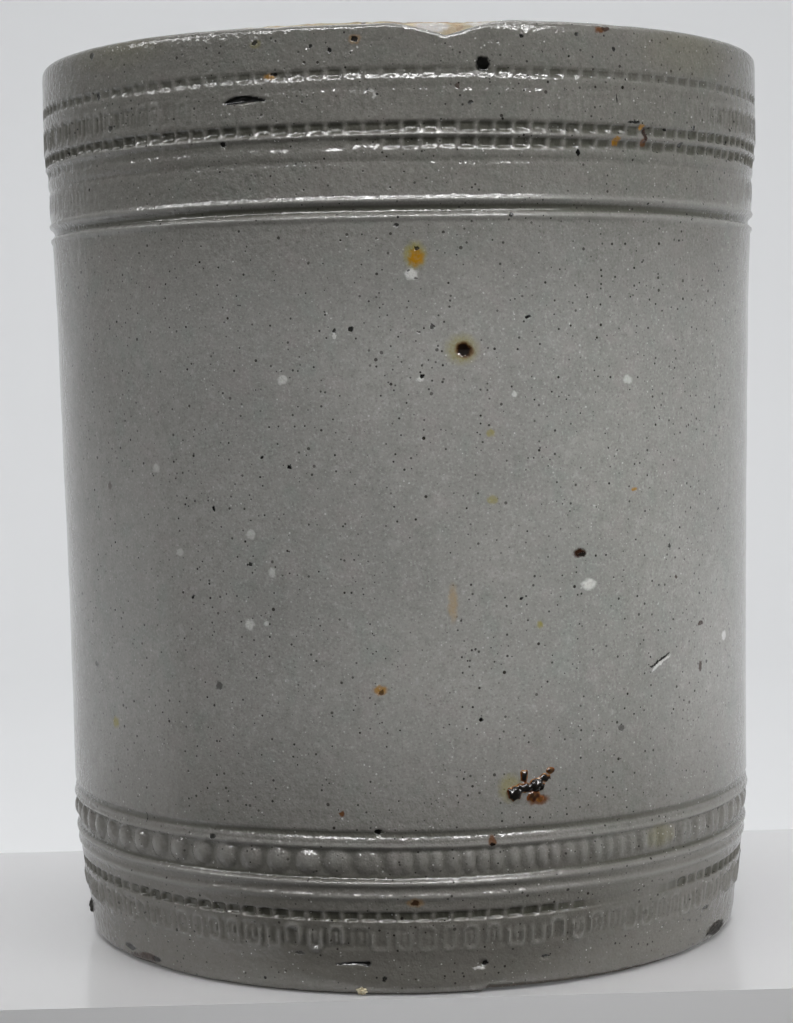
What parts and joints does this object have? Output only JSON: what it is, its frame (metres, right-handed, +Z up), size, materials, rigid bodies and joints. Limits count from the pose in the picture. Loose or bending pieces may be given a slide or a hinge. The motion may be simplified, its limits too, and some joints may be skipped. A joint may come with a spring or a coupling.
{
  "type": "stoneware storage jar",
  "caption": "Straight-sided open stoneware storage jar, grey glazed, with turned cords and rouletted bands below the rim and above the foot.",
  "frame": {"origin": "centre of the flat foot, on the surface the jar stands on", "axes": "+Z up along the jar's axis, the pictured front faces -Y, +X to the right seen from the front"},
  "size_m": [0.1396, 0.1396, 0.168],
  "materials": {
    "bare_clay": "unglazed tan stoneware, matt and slightly gritty",
    "grey_glaze": "glossy mid-grey stoneware glaze with iron specks",
    "liner_glaze": "glossy grey liner glaze"
  },
  "bodies": {
    "root": {"thrown_wall": "bare_clay", "floor_disc": "bare_clay", "luting_coil": "bare_clay", "outer_glaze": "grey_glaze", "liner_glaze": "liner_glaze"}
  },
  "joints": []
}
